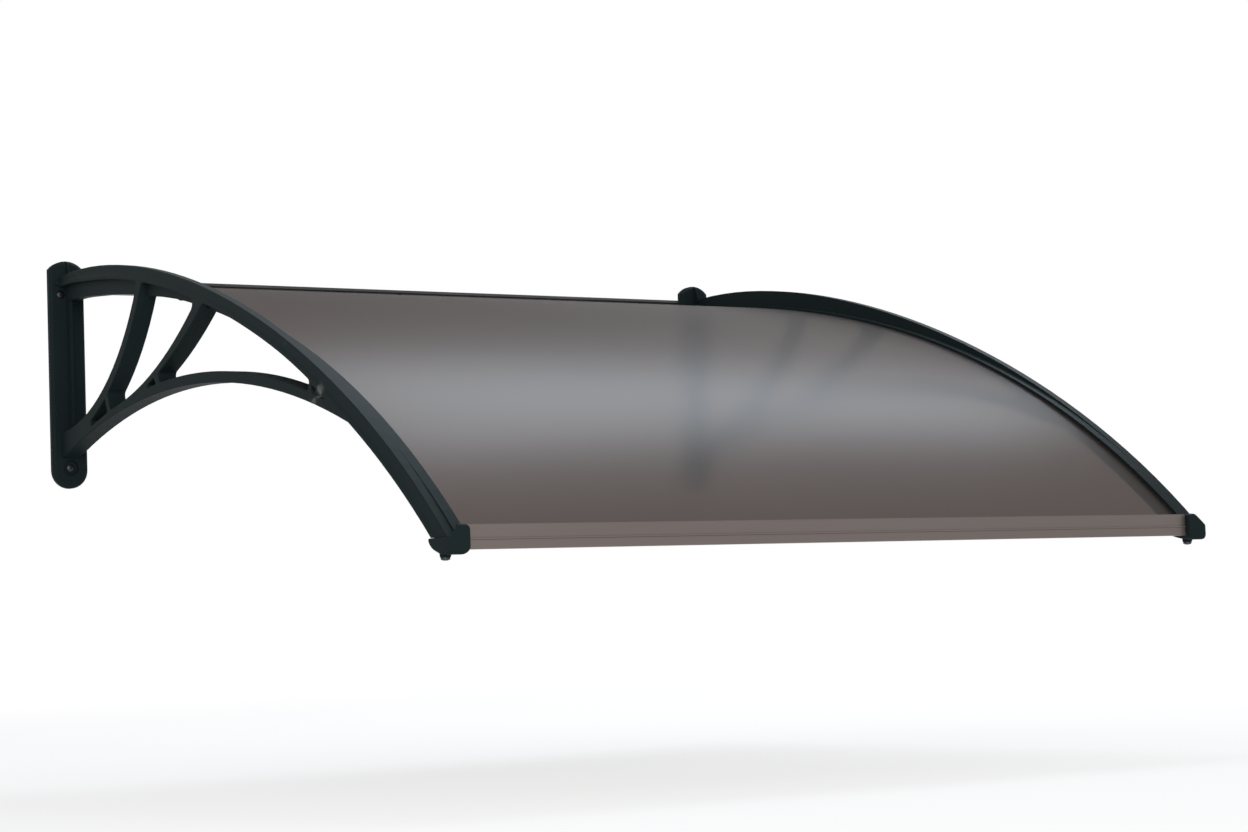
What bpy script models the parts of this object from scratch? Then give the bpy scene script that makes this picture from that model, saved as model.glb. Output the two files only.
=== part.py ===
# Door canopy: one curved polycarbonate sheet on two moulded lattice brackets
#
# Metres, +Z up, X along the wall, the wall plane at y = 0 and the canopy reaching out along -Y.
# The drawing plane (p, z) has p out from the wall and z up from the lower end of the wall plates.
# The world origin is the middle of the wall rail's back face.

import math

import bmesh
import bpy
import numpy as np
from mathutils import Matrix

for thing in list(bpy.data.objects):
    bpy.data.objects.remove(thing, do_unlink=True)

# Overall layout
BRACKET_SPACING = 0.955
ARM_WIDTH = 0.0232
FIT = 0.0003

# Arm line: the upper edge of the arm, one long curve from the wall to the nose
ROOT_HEIGHT = 0.2662
ROOT_RISE = math.radians(4.95)
ROOT_PULL = 0.2654
REACH = 1.0028
NOSE_HEIGHT = -0.1073
NOSE_FALL = math.radians(43.62)
NOSE_PULL = 0.3718
NOSE_OVERRUN = 0.030

# Sheet line: the upper face of the sheet, straighter near the wall and level with the arm at the nose
SHEET_THICKNESS = 0.003
SHEET_REAR_REACH = 0.0108
SHEET_REAR_HEIGHT = 0.2552
SHEET_REAR_FALL = math.radians(5.0)
SHEET_REAR_PULL = 0.25
SHEET_NOSE_DEPTH = 0.0015
SHEET_NOSE_SETBACK = 0.0043
SHEET_NOSE_FALL = math.radians(42.4)
SHEET_NOSE_PULL = 0.42
SHEET_EDGE_INSET = 0.0008
SHEET_POINTS = 37

# Arm section, depths below the arm line
WALL_SIDE_RELIEF = 0.0010
WALL_TOP_CHAMFER = 0.0008
FLANGE_DEPTH = 0.0175
FLANGE_NOSE_DEPTH = 0.0210
FLANGE_GROW_START = 0.638 * REACH
FLANGE_GROW_END = 0.818 * REACH
BEAD_TOP = 0.0075
BEAD_SHOULDER = 0.0043
BEAD_FOOT = 0.0019
BEAD_PROUD = 0.0002
LIP_SIDE = 0.0012
LIP_RISE = 0.0009
LIP_INNER_RISE = 0.0022
WEB_LAP = 0.0015
WEB_THICKNESS = 0.0026
LEDGE_ROOT_DEPTH = 0.0354
LEDGE_FADE_START = 0.180 * REACH
LEDGE_FADE_END = 0.598 * REACH
ROOT_TAPER = 0.0045
ROOT_TAPER_END = 0.13 * REACH
EDGE_CHAMFER = 0.0008

# Wall plate
PLATE_WIDTH = 0.046
PLATE_HEIGHT = 0.288
PLATE_THICKNESS = 0.010
PLATE_SHOULDER_DROP = 0.011
PLATE_RIM_STEP = 0.0062
PLATE_RIM_INSET = 0.0011
PLATE_FACE_INSET = 0.0036
PLATE_RIM_SLOPE = 0.0006
PLATE_FACE_EASE = 0.0014
PLATE_SIDE_SLOPE = 0.0007
RIB_THICKNESS = 0.0030
RIB_REACH = 0.023
RIB_LOW = 0.066
RIB_TOE = 0.0060
RIB_LAP = 0.0040
FIN_THICKNESS = 0.0024
FIN_REACH = 0.022
FIN_DROP = 0.0012
FIN_LAP = 0.0030
FIN_TIP = 0.0020
BEAD_END_X = -0.0150
BEAD_END_HEIGHT = 0.2590
BEAD_END_RADIUS = 0.0023
BEAD_END_PROUD = 0.0032

# Lattice: radii of the long curves and the places where they start and end, many as shares of the reach
ARC_TOP_FOOT = 0.0369
ARC_TOP_RADIUS = 1.1268 * REACH
ARC_TOP_END = 0.7639 * REACH
ARC_LOW_FOOT = 0.0346
ARC_LOW_RADIUS = 1.2365 * REACH
ARC_LOW_END = 0.8008 * REACH
STRUT_1_BACK_FOOT = 0.0695
STRUT_1_BACK_RADIUS = 0.3081 * REACH
STRUT_1_BACK_HEAD = 0.2618 * REACH
STRUT_1_FRONT_FOOT = 0.0535
STRUT_1_FRONT_RADIUS = 0.3334 * REACH
STRUT_1_FRONT_HEAD = 0.2757 * REACH
STRUT_2_BACK_FOOT = 0.1994 * REACH
STRUT_2_BACK_RADIUS = 0.5706 * REACH
STRUT_2_BACK_HEAD = 0.4308 * REACH
STRUT_2_FRONT_FOOT = 0.2653 * REACH
STRUT_2_FRONT_RADIUS = 0.6071 * REACH
STRUT_2_FRONT_HEAD = 0.4497 * REACH
TIE_THICKNESS = 0.010
TIE_1_PLACE = 0.1613 * REACH
TIE_1_LEAN = math.radians(22.8)
TIE_2_PLACE = 0.3118 * REACH
TIE_2_LEAN = math.radians(41.15)
POCKET_1_START = 0.1077 * REACH
POCKET_2_LEAD = 0.021
OPENING_END = 0.716 * REACH
CORNER_RADIUS = 0.005
FOOT_CORNER_RADIUS = 0.010
POCKET_RADIUS = 0.0012
TIP_RADIUS = 0.0042
CROTCH_MARGIN = 0.0045
CROTCH_DEPTH = 0.0035
CROTCH_LIP = 0.0015
CROTCH_RADIUS = 0.0010

# Nose cap: a hull under the arm's end, with a shoulder that closes the sheet's channel
CAP_BACK = 0.0348
CAP_AHEAD = 0.0087
CAP_HEIGHT = 0.0175
CAP_OVERHANG = 0.0013
CAP_KEEL = 0.0240
CAP_STERN = 0.0105
CAP_FRONT_INSET = 0.0010
CAP_FRONT_RADIUS = 0.0050
CAP_OUTER_RADIUS = 0.0030
CAP_INNER_RADIUS = 0.0085
SHOULDER_HEIGHT = 0.0125
SHOULDER_BACK = 0.0026
SHOULDER_RADIUS = 0.0050
CAP_BOSS = 0.0016
CAP_BOSS_RADIUS = 0.0052

# Strips along the sheet's side edges
CLAMP_THICKNESS = 0.0027
GASKET_THICKNESS = 0.0010
GASKET_INSET = 0.0006
GASKET_SHORT = 0.0040

# Front profile
FASCIA_AHEAD = 0.0002
FASCIA_RISE = 0.0118
FASCIA_HEIGHT = 0.024
FASCIA_WALL = 0.0018
FASCIA_RIDGE_DROP = 0.0125
FASCIA_RIDGE_WIDTH = 0.0026
FASCIA_RIDGE_PROUD = 0.0009
FASCIA_RETURN = 0.012
JAW_LENGTH = 0.010
JAW_THICKNESS = 0.0018

# Wall rail and its seal
RAIL_LOW = 0.2478
RAIL_HIGH = 0.2622
RAIL_DEPTH = 0.024
RAIL_BACK_WALL = 0.0025
RAIL_UPPER_JAW = 0.0016
RAIL_SCREW_SPAN = 1.7
RAIL_SCREW_COUNT = 3
SEAL_HEIGHT = 0.0050
SEAL_DEPTH = 0.0070
SEAL_TIP = 0.0020

# Fasteners: head radius, head height, shank radius
WALL_SCREW = (0.0044, 0.0030, 0.0025)
CLAMP_SCREW = (0.0033, 0.0022, 0.0016)
RAIL_SCREW = (0.0026, 0.0018, 0.0015)
NOSE_SCREW = (0.0047, 0.0030, 0.0020)
SCREW_PLAY = 0.0004
WALL_SCREW_LOW = (0.0, 0.0257)
WALL_SCREW_HIGH = (-0.0084, 0.2450)
WALL_SCREW_RECESS = 0.0042
RECESS_RADIUS = 0.0056
LOW_RECESS_RADIUS = 0.0100
CLAMP_PLACES = (0.0997 * REACH, 0.3540 * REACH, 0.5983 * REACH, 0.8775 * REACH)
CLAMP_BITE = 0.0019
CLAMP_SEAT = 0.0045
NOSE_SCREW_SETBACK = 0.0148
NOSE_SCREW_X = -0.0046
NOSE_SCREW_BITE = 0.008
SLOT_WIDTH = 0.0009
SLOT_DEPTH = 0.0011

HALF = ARM_WIDTH / 2
STRIP_MIDDLE = (FIT + HALF) / 2
CAP_REAR = REACH - CAP_BACK
CAP_FRONT = REACH + CAP_AHEAD
NOSE_SCREW_REACH = REACH - NOSE_SCREW_SETBACK
FASCIA_FACE = REACH + FASCIA_AHEAD
FASCIA_TOP = NOSE_HEIGHT + FASCIA_RISE
ROUND_STEPS = 18
HOLE_STEPS = 12
OPENING_SPACING = 0.021
LATTICE_SPACING = 0.026


# Lines in the drawing plane
def bezier(start, fall, pull, end, end_fall, end_pull, count=241):
    a = np.array(start)
    d = np.array(end)
    b = a + pull * np.array([math.cos(fall), -math.sin(fall)])
    c = d - end_pull * np.array([math.cos(end_fall), -math.sin(end_fall)])
    t = np.linspace(0.0, 1.0, count)[:, None]
    return (1 - t) ** 3 * a + 3 * (1 - t) ** 2 * t * b + 3 * (1 - t) * t ** 2 * c + t ** 3 * d


def tangents(line):
    way = np.gradient(line, axis=0)
    return way / np.linalg.norm(way, axis=1)[:, None]


def downs(line):
    way = tangents(line)
    return np.stack([way[:, 1], -way[:, 0]], axis=1)


def offset(line, depth):
    depth = np.broadcast_to(np.asarray(depth, dtype=float), (len(line),))
    return line + downs(line) * depth[:, None]


def value_at(line, values, place):
    return np.interp(place, line[:, 0], values)


def point_at(line, place):
    return np.array([place, np.interp(place, line[:, 0], line[:, 1])])


def smooth(place, start, end):
    s = np.clip((place - start) / (end - start), 0.0, 1.0)
    return s * s * (3 - 2 * s)


def resample(line, count):
    run = np.concatenate([[0.0], np.cumsum(np.linalg.norm(np.diff(line, axis=0), axis=1))])
    at = np.linspace(0.0, run[-1], count)
    return np.stack([np.interp(at, run, line[:, 0]), np.interp(at, run, line[:, 1])], axis=1)


def circle_between(start, end, radius, hump, count=61):
    """The arc of that radius from start to end; hump is 1 for an arc that bulges up, -1 for down."""
    a = np.array(start)
    b = np.array(end)
    middle = (a + b) / 2
    chord = b - a
    half = np.linalg.norm(chord) / 2
    away = np.array([chord[1], -chord[0]]) / (2 * half) * hump
    centre = middle + away * math.sqrt(radius ** 2 - half ** 2)
    first = math.atan2(*(a - centre)[::-1])
    last = math.atan2(*(b - centre)[::-1])
    turn = (last - first + math.pi) % (2 * math.pi) - math.pi
    margin = turn * 0.03
    angles = np.linspace(first - margin, last + margin, count)
    return centre + radius * np.stack([np.cos(angles), np.sin(angles)], axis=1)


def crossing(first, second):
    """Where two lines cross, as the place along each of them."""
    p = first[:-1, None]
    r = (first[1:] - first[:-1])[:, None]
    q = second[None, :-1]
    s = (second[1:] - second[:-1])[None]
    cross = r[..., 0] * s[..., 1] - r[..., 1] * s[..., 0]
    gap = q - p
    t = (gap[..., 0] * s[..., 1] - gap[..., 1] * s[..., 0]) / cross
    u = (gap[..., 0] * r[..., 1] - gap[..., 1] * r[..., 0]) / cross
    i, j = np.argwhere((t >= 0) & (t < 1) & (u >= 0) & (u < 1))[0]
    return i + t[i, j], j + u[i, j]


def along(line, place):
    index = np.arange(len(line))
    return np.array([np.interp(place, index, line[:, 0]), np.interp(place, index, line[:, 1])])


def part_of(line, start, end):
    low, high = min(start, end), max(start, end)
    inner = [line[k] for k in range(math.floor(low) + 1, math.ceil(high))]
    points = np.array([along(line, low)] + inner + [along(line, high)])
    return points if start <= end else points[::-1]


def trimmed(side, cut_start, cut_end):
    run = np.concatenate([[0.0], np.cumsum(np.linalg.norm(np.diff(side, axis=0), axis=1))])
    first = np.interp(cut_start, run, np.arange(len(side)))
    last = np.interp(run[-1] - cut_end, run, np.arange(len(side)))
    return part_of(side, first, last)


def rounded(sides, radii, counts, corner_steps=4):
    """A closed outline from sides that meet at corners; radii[k] rounds the end of side k."""
    count = len(sides)
    cuts = []
    for k in range(count):
        into = sides[k][-1] - sides[k][-2]
        out = sides[(k + 1) % count][1] - sides[(k + 1) % count][0]
        turn = abs(math.atan2(into[0] * out[1] - into[1] * out[0], into @ out))
        cuts.append(radii[k] * math.tan(turn / 2))
    pieces = [trimmed(sides[k], cuts[k - 1], cuts[k]) for k in range(count)]
    outline = []
    for k in range(count):
        piece = pieces[k]
        outline.extend(resample(piece, counts[k]))
        if radii[k] == 0:
            outline.pop()
            continue
        after = pieces[(k + 1) % count]
        a, d = piece[-1], after[0]
        into = (piece[-1] - piece[-2]) / np.linalg.norm(piece[-1] - piece[-2])
        out = (after[1] - after[0]) / np.linalg.norm(after[1] - after[0])
        turn = abs(math.atan2(into[0] * out[1] - into[1] * out[0], into @ out))
        pull = 4 / 3 * math.tan(turn / 4) * radii[k]
        for t in np.linspace(0.0, 1.0, corner_steps + 1)[1:-1]:
            b = a + into * pull
            c = d - out * pull
            outline.append((1 - t) ** 3 * a + 3 * (1 - t) ** 2 * t * b + 3 * (1 - t) * t * t * c + t ** 3 * d)
    return np.array(outline)


def enclosed(lines, radii, counts=None, spacing=OPENING_SPACING):
    """The closed outline bounded by the lines in turn, each crossing the next, and its count of points per side."""
    size = len(lines)
    meets = [crossing(lines[k], lines[(k + 1) % size]) for k in range(size)]
    sides = [part_of(lines[k], meets[k - 1][1], meets[k][0]) for k in range(size)]
    if counts is None:
        lengths = [np.linalg.norm(np.diff(side, axis=0), axis=1).sum() for side in sides]
        counts = [max(2, round(length / spacing) + 1) for length in lengths]
    return rounded(sides, radii, counts), counts


def grown(outline, amount):
    """The closed outline moved outwards by amount, inwards where it is negative."""
    ahead = np.roll(outline, -1, axis=0) - outline
    behind = outline - np.roll(outline, 1, axis=0)
    ahead /= np.linalg.norm(ahead, axis=1)[:, None]
    behind /= np.linalg.norm(behind, axis=1)[:, None]
    nxt = np.roll(outline, -1, axis=0)
    area = 0.5 * np.sum(outline[:, 0] * nxt[:, 1] - outline[:, 1] * nxt[:, 0])
    turned = ahead + behind
    turned /= np.linalg.norm(turned, axis=1)[:, None]
    normal = np.stack([turned[:, 1], -turned[:, 0]], axis=1) * np.sign(area)
    stretch = 1 / np.maximum(0.5, np.abs(np.sum(turned * ahead, axis=1)))
    return outline + normal * (amount * stretch)[:, None]


# Solids
def make_object(name, points, faces):
    mesh = bpy.data.meshes.new(name)
    mesh.from_pydata([tuple(float(v) for v in point) for point in points], [], faces)
    bm = bmesh.new()
    bm.from_mesh(mesh)
    bmesh.ops.recalc_face_normals(bm, faces=bm.faces)
    if bm.calc_volume(signed=True) < 0:
        bmesh.ops.reverse_faces(bm, faces=bm.faces)
    bm.to_mesh(mesh)
    bm.free()
    thing = bpy.data.objects.new(name, mesh)
    bpy.context.scene.collection.objects.link(thing)
    return thing


def loft(name, rings):
    """A closed solid through rings that all have the same number of corners."""
    size = len(rings[0])
    points = [corner for ring in rings for corner in ring]
    faces = []
    for k in range(len(rings) - 1):
        for j in range(size):
            nxt = (j + 1) % size
            faces.append((k * size + j, k * size + nxt, (k + 1) * size + nxt, (k + 1) * size + j))
    faces.append(tuple(range(size))[::-1])
    faces.append(tuple((len(rings) - 1) * size + j for j in range(size)))
    return make_object(name, points, faces)


def prism(name, layers):
    """Layers are (x, outline) pairs; the outlines lie in the drawing plane."""
    return loft(name, [[(x, -p, z) for p, z in outline] for x, outline in layers])


def chamfered(name, outline, low, high, low_cut, high_cut):
    layers = [(low, grown(outline, -low_cut)), (high, grown(outline, -high_cut))]
    if low_cut:
        layers.insert(1, (low + low_cut, outline))
    if high_cut:
        layers.insert(-1, (high - high_cut, outline))
    return prism(name, layers)


def sweep(name, line, section):
    """A solid along the line; section(k) gives (x, depth) corners at point k of the line."""
    down = downs(line)
    rings = []
    for k, point in enumerate(line):
        ring = []
        for x, depth in section(k):
            place = point + down[k] * depth
            ring.append((x, -place[0], place[1]))
        rings.append(ring)
    return loft(name, rings)


def boolean(target, tool, operation):
    change = target.modifiers.new(operation, "BOOLEAN")
    change.operation = operation
    change.solver = "EXACT"
    change.object = tool
    graph = bpy.context.evaluated_depsgraph_get()
    mesh = bpy.data.meshes.new_from_object(target.evaluated_get(graph))
    target.modifiers.clear()
    target.data = mesh
    bpy.data.objects.remove(tool, do_unlink=True)


def unite(target, *tools):
    for tool in tools:
        boolean(target, tool, "UNION")


def cut(target, *tools):
    for tool in tools:
        boolean(target, tool, "DIFFERENCE")


def turned(name, profile, steps=ROUND_STEPS):
    """A revolve about +Z: profile is (radius, height) from the axis at one end to the axis at the other."""
    points = [(0.0, 0.0, profile[0][1])]
    for radius, height in profile[1:-1]:
        for k in range(steps):
            angle = 2 * math.pi * k / steps
            points.append((radius * math.cos(angle), radius * math.sin(angle), height))
    points.append((0.0, 0.0, profile[-1][1]))
    faces = []
    rows = len(profile) - 2
    for k in range(steps):
        nxt = (k + 1) % steps
        faces.append((0, 1 + nxt, 1 + k))
        for row in range(rows - 1):
            a = 1 + row * steps
            faces.append((a + k, a + nxt, a + steps + nxt, a + steps + k))
        last = 1 + (rows - 1) * steps
        faces.append((last + k, last + nxt, len(points) - 1))
    return make_object(name, points, faces)


def stood(thing, place, way):
    """Turn a revolve so that its +Z points along way, with its zero height at place."""
    way = np.array(way) / np.linalg.norm(way)
    side = np.cross(way, (1.0, 0.0, 0.0))
    if np.linalg.norm(side) < 0.1:
        side = np.cross(way, (0.0, 1.0, 0.0))
    side /= np.linalg.norm(side)
    other = np.cross(way, side)
    turn = Matrix([[*map(float, row)] for row in np.stack([side, other, way], axis=1)]).to_4x4()
    thing.data.transform(Matrix.Translation([float(v) for v in place]) @ turn)
    return thing


def pin(name, radius, low, high, place, way, steps=ROUND_STEPS):
    return stood(turned(name, [(0, low), (radius, low), (radius, high), (0, high)], steps), place, way)


def screw(name, kind, length, place, way, steps=ROUND_STEPS):
    """Slotted pan-head screw: the head's seat at place, the shank running back along -way."""
    head, height, shank = kind
    crown = head * 0.78
    body = turned(name, [
        (0, -length),
        (shank * 0.6, -length),
        (shank, -length + shank * 0.5),
        (shank, 0),
        (head, 0),
        (head, height * 0.55),
        (crown, height * 0.92),
        (0, height),
    ], steps)
    blade = make_box(name + "_slot", (-head * 1.2, -SLOT_WIDTH / 2, height - SLOT_DEPTH),
                     (head * 1.2, SLOT_WIDTH / 2, height + SLOT_DEPTH))
    cut(body, blade)
    return stood(body, place, way)


def make_box(name, low, high):
    x0, y0, z0 = low
    x1, y1, z1 = high
    return loft(name, [[(x0, y0, z), (x1, y0, z), (x1, y1, z), (x0, y1, z)] for z in (z0, z1)])


# The arm line and the sheet line
arm = bezier((0.0, ROOT_HEIGHT), -ROOT_RISE, ROOT_PULL, (REACH, NOSE_HEIGHT), NOSE_FALL, NOSE_PULL)
nose_way = tangents(arm)[-1]
nose_run = [arm[-1] + nose_way * NOSE_OVERRUN * k / 6 for k in range(1, 7)]
arm = np.concatenate([arm, nose_run])
arm = np.concatenate([[arm[0] - tangents(arm)[0] * 0.004], arm])

nose_growth = (FLANGE_NOSE_DEPTH - FLANGE_DEPTH) * smooth(arm[:, 0], FLANGE_GROW_START, FLANGE_GROW_END)
root_taper = ROOT_TAPER * (1 - smooth(arm[:, 0], 0.0, ROOT_TAPER_END))
flange_depth = FLANGE_DEPTH + nose_growth - root_taper
fade = smooth(arm[:, 0], LEDGE_FADE_START, LEDGE_FADE_END)
ledge_depth = (LEDGE_ROOT_DEPTH - root_taper) * (1 - fade) + flange_depth * fade
flange_line = offset(arm, flange_depth)
ledge_line = offset(arm, ledge_depth)

sheet_nose_place = np.interp(REACH - SHEET_NOSE_SETBACK, arm[:, 0], np.arange(len(arm)))
sheet_nose = along(offset(arm, SHEET_NOSE_DEPTH), sheet_nose_place)
sheet = bezier((SHEET_REAR_REACH, SHEET_REAR_HEIGHT), SHEET_REAR_FALL, SHEET_REAR_PULL,
               sheet_nose, SHEET_NOSE_FALL, SHEET_NOSE_PULL)
sheet = resample(sheet, SHEET_POINTS)
seat_depth = SHEET_THICKNESS + 2 * FIT + GASKET_THICKNESS + FIT
rear_way = tangents(sheet)[0]
front_way = tangents(sheet)[-1]
seat = np.concatenate([[sheet[0] - rear_way * 0.02], sheet, [sheet[-1] + front_way * 0.05]])
seat = offset(seat, seat_depth)


# Lattice lines
wall_face = np.array([(PLATE_THICKNESS, -0.05), (PLATE_THICKNESS, PLATE_HEIGHT)])
arc_top = circle_between((0.0, ARC_TOP_FOOT), point_at(flange_line, ARC_TOP_END), ARC_TOP_RADIUS, 1)
arc_low = circle_between((0.0, ARC_LOW_FOOT), point_at(flange_line, ARC_LOW_END), ARC_LOW_RADIUS, 1)
strut_1_back = circle_between((0.0, STRUT_1_BACK_FOOT), point_at(flange_line, STRUT_1_BACK_HEAD),
                              STRUT_1_BACK_RADIUS, -1)
strut_1_front = circle_between((0.0, STRUT_1_FRONT_FOOT), point_at(flange_line, STRUT_1_FRONT_HEAD),
                               STRUT_1_FRONT_RADIUS, -1)
strut_2_back = circle_between(point_at(arc_top, STRUT_2_BACK_FOOT), point_at(flange_line, STRUT_2_BACK_HEAD),
                              STRUT_2_BACK_RADIUS, -1)
strut_2_front = circle_between(point_at(arc_top, STRUT_2_FRONT_FOOT), point_at(flange_line, STRUT_2_FRONT_HEAD),
                               STRUT_2_FRONT_RADIUS, -1)


def tie_lines(place, lean):
    """Both sides of a short tie that stands on the lower arc at that place and leans towards the wall."""
    foot = point_at(arc_top, place)
    way = np.array([math.sin(lean), -math.cos(lean)])
    across = np.array([-way[1], way[0]])
    left = np.array([foot - way * 0.05, foot + way * 0.03])
    return left, left + across * TIE_THICKNESS


def pocket_start(place):
    """The upright end of a small pocket, across the lower arc's upper side."""
    foot = point_at(arc_top, place)
    return np.array([foot - (0.0, 0.02), foot + (0.0, 0.04)])


tie_1_left, tie_1_right = tie_lines(TIE_1_PLACE, TIE_1_LEAN)
tie_2_left, tie_2_right = tie_lines(TIE_2_PLACE, TIE_2_LEAN)
pocket_1_start = pocket_start(POCKET_1_START)
pocket_2_start = pocket_start(STRUT_2_FRONT_FOOT + POCKET_2_LEAD)
tip = point_at(ledge_line, OPENING_END)
tip_way = downs(ledge_line)[np.searchsorted(ledge_line[:, 0], OPENING_END)]
opening_end = np.array([tip - tip_way * 0.01, tip + tip_way * 0.03])


LATTICE_OPENINGS = {
    "opening_1": ([wall_face, None, strut_1_back], [CORNER_RADIUS * 0.8, CORNER_RADIUS, FOOT_CORNER_RADIUS]),
    "opening_2": ([strut_1_front, None, strut_2_back, arc_top, tie_1_right],
                  [CORNER_RADIUS, CORNER_RADIUS * 1.6, 0, CORNER_RADIUS, CORNER_RADIUS]),
    "opening_3": ([strut_2_front, None, opening_end, arc_top, tie_2_right],
                  [CORNER_RADIUS * 1.4, TIP_RADIUS, TIP_RADIUS, CORNER_RADIUS, CORNER_RADIUS]),
    "pocket_1": ([pocket_1_start, strut_1_front, tie_1_left, arc_top], [POCKET_RADIUS] * 4),
    "pocket_2": ([pocket_2_start, strut_2_front, tie_2_left, arc_top], [POCKET_RADIUS] * 4),
}


def opening_cutter(name, key):
    """A through cutter with flared rims; its top is the flange's underside outside and the ledge's inside."""
    lines, radii = LATTICE_OPENINGS[key]
    outer, counts = enclosed([flange_line if line is None else line for line in lines], radii)
    inner, counts = enclosed([ledge_line if line is None else line for line in lines], radii, counts)
    past = 0.002
    return prism(name, [
        (-HALF - past, grown(outer, EDGE_CHAMFER)),
        (-HALF, grown(outer, EDGE_CHAMFER)),
        (-HALF + EDGE_CHAMFER, outer),
        (-WEB_THICKNESS, outer),
        (-WEB_THICKNESS + 0.0006, inner),
        (HALF - EDGE_CHAMFER, inner),
        (HALF, grown(inner, EDGE_CHAMFER)),
        (HALF + past, grown(inner, EDGE_CHAMFER)),
    ])


def lattice_body(name):
    """The lattice at full width, with the sheet's channel cut into its inner half."""
    inside_plate = np.array([(PLATE_THICKNESS * 0.5, -0.05), (PLATE_THICKNESS * 0.5, PLATE_HEIGHT)])
    nose_floor = np.array([(REACH - 0.10, NOSE_HEIGHT - 0.006), (REACH + 0.06, NOSE_HEIGHT - 0.006)])
    top_line = offset(arm, flange_depth - BEAD_SHOULDER)
    outline, counts = enclosed([inside_plate, top_line, nose_floor, flange_line, arc_low], [0] * 5, None,
                               LATTICE_SPACING)
    body = chamfered(name, outline, -HALF, HALF, EDGE_CHAMFER, EDGE_CHAMFER)
    for key in LATTICE_OPENINGS:
        cut(body, opening_cutter(name + key, key))
    above = seat[::-1] + (0.0, 0.08)
    cut(body, prism(name + "_channel", [(-0.0006, np.concatenate([seat, above])),
                                        (HALF + 0.01, np.concatenate([seat, above]))]))
    return body


def outer_wall(name):
    """The arm's outer wall with its proud bead, and the web that ties it to the ledge."""
    stations = resample(arm, 39)
    flange = value_at(arm, flange_depth, stations[:, 0])
    depth_to_seat = []
    for point, down, way in zip(stations, downs(stations), tangents(stations)):
        gap = seat - point
        depth_to_seat.append(np.interp(0.0, gap @ way, gap @ down))

    def section(k):
        web = max(depth_to_seat[k] + WEB_LAP, flange[k] - WEB_LAP)
        return [
            (-HALF + WALL_SIDE_RELIEF + WALL_TOP_CHAMFER, 0.0),
            (0.0, 0.0),
            (0.0, web),
            (-WEB_THICKNESS, web),
            (-WEB_THICKNESS, flange[k] - LIP_INNER_RISE),
            (-HALF + LIP_SIDE, flange[k] - LIP_RISE),
            (-HALF - BEAD_PROUD, flange[k] - BEAD_FOOT),
            (-HALF - BEAD_PROUD, flange[k] - BEAD_SHOULDER),
            (-HALF + WALL_SIDE_RELIEF, flange[k] - BEAD_TOP),
            (-HALF + WALL_SIDE_RELIEF, WALL_TOP_CHAMFER),
        ]

    return sweep(name, stations, section)


def plate_outline():
    half = PLATE_WIDTH / 2
    low = [(half * math.cos(a), half + half * math.sin(a)) for a in np.linspace(math.pi, 2 * math.pi, 17)]
    shoulder = PLATE_HEIGHT - PLATE_SHOULDER_DROP
    radius = (half ** 2 + PLATE_SHOULDER_DROP ** 2) / (2 * PLATE_SHOULDER_DROP)
    spread = math.asin(half / radius)
    top = [(radius * math.sin(a), shoulder - radius * math.cos(spread) + radius * math.cos(a))
           for a in np.linspace(spread, -spread, 11)]
    return np.array(low + top)


def wall_plate(name):
    outline = plate_outline()
    layers = [
        (0.0, 0.0),
        (PLATE_RIM_STEP, 0.0),
        (PLATE_RIM_STEP + PLATE_RIM_SLOPE, PLATE_RIM_INSET),
        (PLATE_THICKNESS - PLATE_FACE_EASE, PLATE_RIM_INSET + PLATE_SIDE_SLOPE),
        (PLATE_THICKNESS, PLATE_FACE_INSET),
    ]
    return loft(name, [[(x, -reach, z) for x, z in grown(outline, -inset)] for reach, inset in layers])


def slab(name, corners, thickness):
    return prism(name, [(-thickness / 2, np.array(corners)), (thickness / 2, np.array(corners))])


def clamp_axis(place):
    """Where a clamp screw crosses the sheet's upper face, and the way up out of the sheet."""
    down = downs(sheet)
    way = -np.array([value_at(sheet, down[:, 0], place), value_at(sheet, down[:, 1], place)])
    return point_at(sheet, place), way / np.linalg.norm(way)


def clamp_cutter(name, place, low, high):
    point, way = clamp_axis(place)
    return pin(name, CLAMP_SCREW[2] + SCREW_PLAY, low, high, (STRIP_MIDDLE, -point[0], point[1]),
               (0.0, -way[0], way[1]), HOLE_STEPS)


def stepped_cutter(name, kind, low, seat_at, high, head_radius, place, way, steps=ROUND_STEPS):
    """A clearance hole for the shank that widens into a recess for the head at seat_at."""
    hole = kind[2] + SCREW_PLAY
    profile = [(0, low), (hole, low), (hole, seat_at), (head_radius, seat_at), (head_radius, high), (0, high)]
    return stood(turned(name, profile, steps), place, way)


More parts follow.
